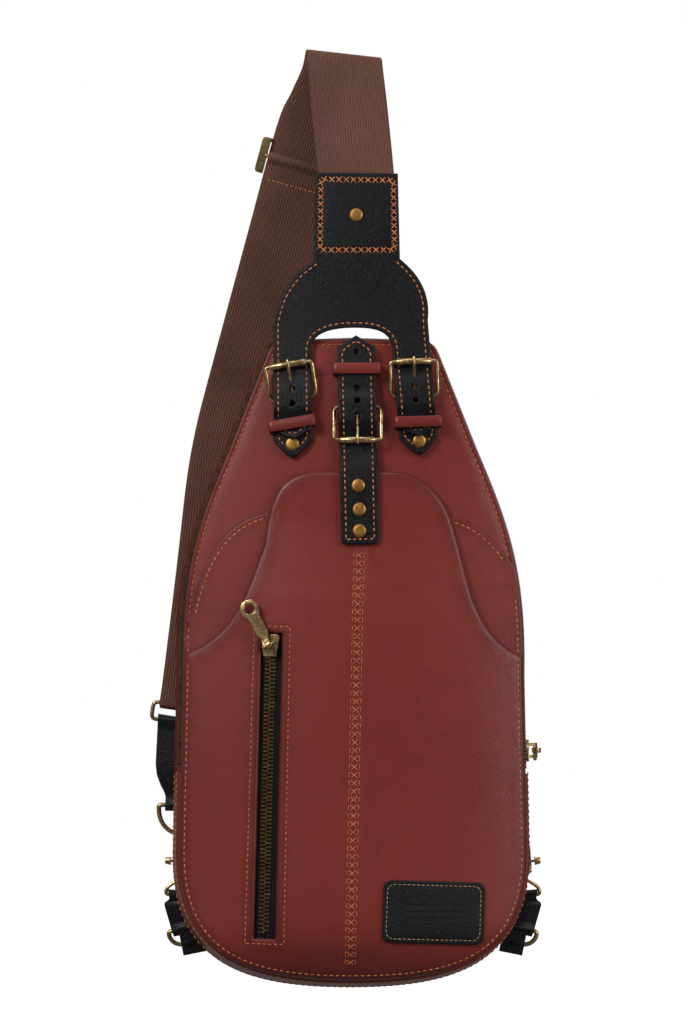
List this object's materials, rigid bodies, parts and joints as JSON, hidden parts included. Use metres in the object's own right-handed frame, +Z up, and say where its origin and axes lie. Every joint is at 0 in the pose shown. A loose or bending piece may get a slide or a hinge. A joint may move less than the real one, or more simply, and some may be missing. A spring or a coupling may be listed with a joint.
{
  "type": "sling bag",
  "caption": "Teardrop leather sling bag with a zipped front pocket, side main zip, roller-buckle straps and an adjustable webbing shoulder strap with swivel snap hooks.",
  "frame": {"origin": "inside the top fold of the webbing strap, where the bag hangs from a hook", "axes": "+Z up along the bag, +Y out of the flat back, so the front faces -Y and +X is the viewer's right"},
  "size_m": [0.1992, 0.0812, 0.477],
  "materials": {
    "red_leather": "smooth burgundy pull-up leather, soft sheen",
    "black_leather": "black leather, fine creased grain",
    "webbing": "ribbed brown webbing",
    "zip_tape": "black woven zip tape with brass teeth",
    "lining": "plain dark lining cloth",
    "antique_brass": "antique brass, worn bright on the edges"
  },
  "bodies": {
    "bag": {"front_panel": "red_leather", "back_panel": "red_leather", "lower_gusset": "red_leather", "upper_gusset": "red_leather", "main_zip_tape_front": "zip_tape", "main_zip_tape_back": "zip_tape", "main_lining": "lining", "pocket_backing": "red_leather", "pocket_front": "red_leather", "front_zip_tape_left": "zip_tape", "front_zip_tape_right": "zip_tape", "left_buckle_frame": "antique_brass", "left_chape": "black_leather", "right_buckle_frame": "antique_brass", "right_chape": "black_leather", "center_buckle_frame": "antique_brass", "center_chape": "black_leather", "left_rivet": "antique_brass", "right_rivet": "antique_brass", "left_keeper": "red_leather", "right_keeper": "red_leather", "center_keeper": "red_leather", "yoke_front": "black_leather", "yoke_back": "black_leather", "yoke_rivet": "antique_brass", "center_strap": "black_leather", "center_rivet_1": "antique_brass", "center_rivet_2": "antique_brass", "center_rivet_3": "antique_brass", "name_patch": "black_leather", "webbing_main": "webbing", "webbing_tail": "webbing", "left_anchor": "black_leather", "right_anchor": "black_leather"},
    "front_slider": {"front_zip_slider": "antique_brass"},
    "front_pull": {"front_zip_pull": "antique_brass"},
    "main_slider": {"main_zip_slider": "antique_brass"},
    "main_pull": {"main_zip_pull": "antique_brass"},
    "left_roller_body": {"left_roller": "antique_brass"},
    "right_roller_body": {"right_roller": "antique_brass"},
    "center_roller_body": {"center_roller": "antique_brass"},
    "left_prong_body": {"left_prong": "antique_brass"},
    "right_prong_body": {"right_prong": "antique_brass"},
    "center_prong_body": {"center_prong": "antique_brass"},
    "adjuster": {"strap_slider": "antique_brass"},
    "ring": {"strap_ring": "antique_brass"},
    "end_tab": {"strap_end_tab": "black_leather"},
    "end_d_ring": {"strap_d_ring": "antique_brass"},
    "left_ring": {"left_d_ring": "antique_brass"},
    "left_tab_body": {"left_tab": "black_leather"},
    "left_eye": {"left_snap_eye": "antique_brass"},
    "left_snap": {"left_snap_body": "antique_brass"},
    "left_bolt": {"left_snap_bolt": "antique_brass"},
    "right_ring": {"right_d_ring": "antique_brass"},
    "right_tab_body": {"right_tab": "black_leather"},
    "right_eye": {"right_snap_eye": "antique_brass"},
    "right_snap": {"right_snap_body": "antique_brass"},
    "right_bolt": {"right_snap_bolt": "antique_brass"}
  },
  "joints": [
    {"name": "front_zip_slide", "type": "slide", "parent": "bag", "child": "front_slider", "axis": [-0.0235, -0.0714, -0.9972], "range_m": [0, 0.128]},
    {"name": "front_pull_hinge", "type": "hinge", "parent": "front_slider", "child": "front_pull", "pos_m": [-0.0375, -0.03302, -0.2933], "axis": [0.8709, -0.0722, 0.4861], "range_deg": [0, 160]},
    {"name": "main_zip_slide", "type": "slide", "parent": "bag", "child": "main_slider", "axis": [-0.019, 0.0779, 0.9968], "range_m": [0, 0.045]},
    {"name": "main_pull_hinge", "type": "hinge", "parent": "main_slider", "child": "main_pull", "pos_m": [0.09605, -0.00481, -0.34688], "axis": [0.019, -0.0779, -0.9968], "range_deg": [0, 160]},
    {"name": "left_roller_spin", "type": "hinge", "parent": "bag", "child": "left_roller_body", "pos_m": [-0.02806, -0.01694, -0.15399], "axis": [0.987, -0.0615, 0.1484], "continuous": true},
    {"name": "left_prong_hinge", "type": "hinge", "parent": "bag", "child": "left_prong_body", "pos_m": [-0.02548, -0.01653, -0.17098], "axis": [0.987, -0.0615, 0.1484], "range_deg": [0, 13]},
    {"name": "right_roller_spin", "type": "hinge", "parent": "bag", "child": "right_roller_body", "pos_m": [0.03442, -0.01691, -0.15244], "axis": [0.9959, 0.0849, 0.0298], "continuous": true},
    {"name": "right_prong_hinge", "type": "hinge", "parent": "bag", "child": "right_prong_body", "pos_m": [0.03488, -0.01629, -0.16962], "axis": [0.9959, 0.0849, 0.0298], "range_deg": [0, 13]},
    {"name": "center_roller_spin", "type": "hinge", "parent": "bag", "child": "center_roller_body", "pos_m": [0.00645, -0.02279, -0.19166], "axis": [-1, -0.0059, 0], "continuous": true},
    {"name": "center_prong_hinge", "type": "hinge", "parent": "bag", "child": "center_prong_body", "pos_m": [0.00642, -0.01818, -0.1751], "axis": [-1, -0.0059, 0], "range_deg": [0, 10]},
    {"name": "adjuster_slide", "type": "slide", "parent": "bag", "child": "adjuster", "axis": [-0.2615, 0.1857, -0.9472], "range_m": [0, 0.1], "deforming": ["webbing_tail"]},
    {"name": "ring_hinge", "type": "hinge", "parent": "bag", "child": "ring", "pos_m": [-0.0752, 0.0324, -0.327], "axis": [0.9889, 0, -0.1484], "range_deg": [0, 60]},
    {"name": "end_tab_hinge", "type": "hinge", "parent": "ring", "child": "end_tab", "pos_m": [-0.07649, 0.0324, -0.3356], "axis": [0.9889, 0, -0.1484], "range_deg": [0, 60]},
    {"name": "end_d_ring_hinge", "type": "hinge", "parent": "end_tab", "child": "end_d_ring", "pos_m": [-0.07854, 0.0324, -0.37655], "axis": [0.9998, 0, -0.02], "range_deg": [-4, 4]},
    {"name": "left_ring_hinge", "type": "hinge", "parent": "bag", "child": "left_ring", "pos_m": [-0.07867, 0.0324, -0.44695], "axis": [0.9801, 0, 0.1987], "range_deg": [-45, 0]},
    {"name": "left_tab_hinge", "type": "hinge", "parent": "left_ring", "child": "left_tab_body", "pos_m": [-0.0803, 0.0324, -0.43892], "axis": [0.9801, 0, 0.1987], "range_deg": [-60, 0]},
    {"name": "left_eye_hinge", "type": "hinge", "parent": "left_tab_body", "child": "left_eye", "pos_m": [-0.08368, 0.0324, -0.42225], "axis": [0.9976, 0, -0.0699], "range_deg": [-2, 2]},
    {"name": "left_swivel", "type": "hinge", "parent": "left_eye", "child": "left_snap", "pos_m": [-0.0824, 0.0324, -0.404], "axis": [0.0699, 0, 0.9976], "range_deg": [-45, 20]},
    {"name": "left_bolt_slide", "type": "slide", "parent": "left_snap", "child": "left_bolt", "axis": [-0.0699, 0, -0.9976], "range_m": [0, 0.0036], "stiffness_N_per_m": 120},
    {"name": "right_ring_hinge", "type": "hinge", "parent": "bag", "child": "right_ring", "pos_m": [0.08707, 0.0324, -0.44695], "axis": [0.9801, 0, -0.1987], "range_deg": [-45, 0]},
    {"name": "right_tab_hinge", "type": "hinge", "parent": "right_ring", "child": "right_tab_body", "pos_m": [0.0887, 0.0324, -0.43892], "axis": [0.9801, 0, -0.1987], "range_deg": [-60, 0]},
    {"name": "right_eye_hinge", "type": "hinge", "parent": "right_tab_body", "child": "right_eye", "pos_m": [0.09208, 0.0324, -0.42225], "axis": [0.9976, 0, 0.0699], "range_deg": [-52, 0]},
    {"name": "right_swivel", "type": "hinge", "parent": "right_eye", "child": "right_snap", "pos_m": [0.0908, 0.0324, -0.404], "axis": [-0.0699, 0, 0.9976], "range_deg": [-40, 90]},
    {"name": "right_bolt_slide", "type": "slide", "parent": "right_snap", "child": "right_bolt", "axis": [0.0699, 0, -0.9976], "range_m": [0, 0.0036], "stiffness_N_per_m": 120}
  ]
}
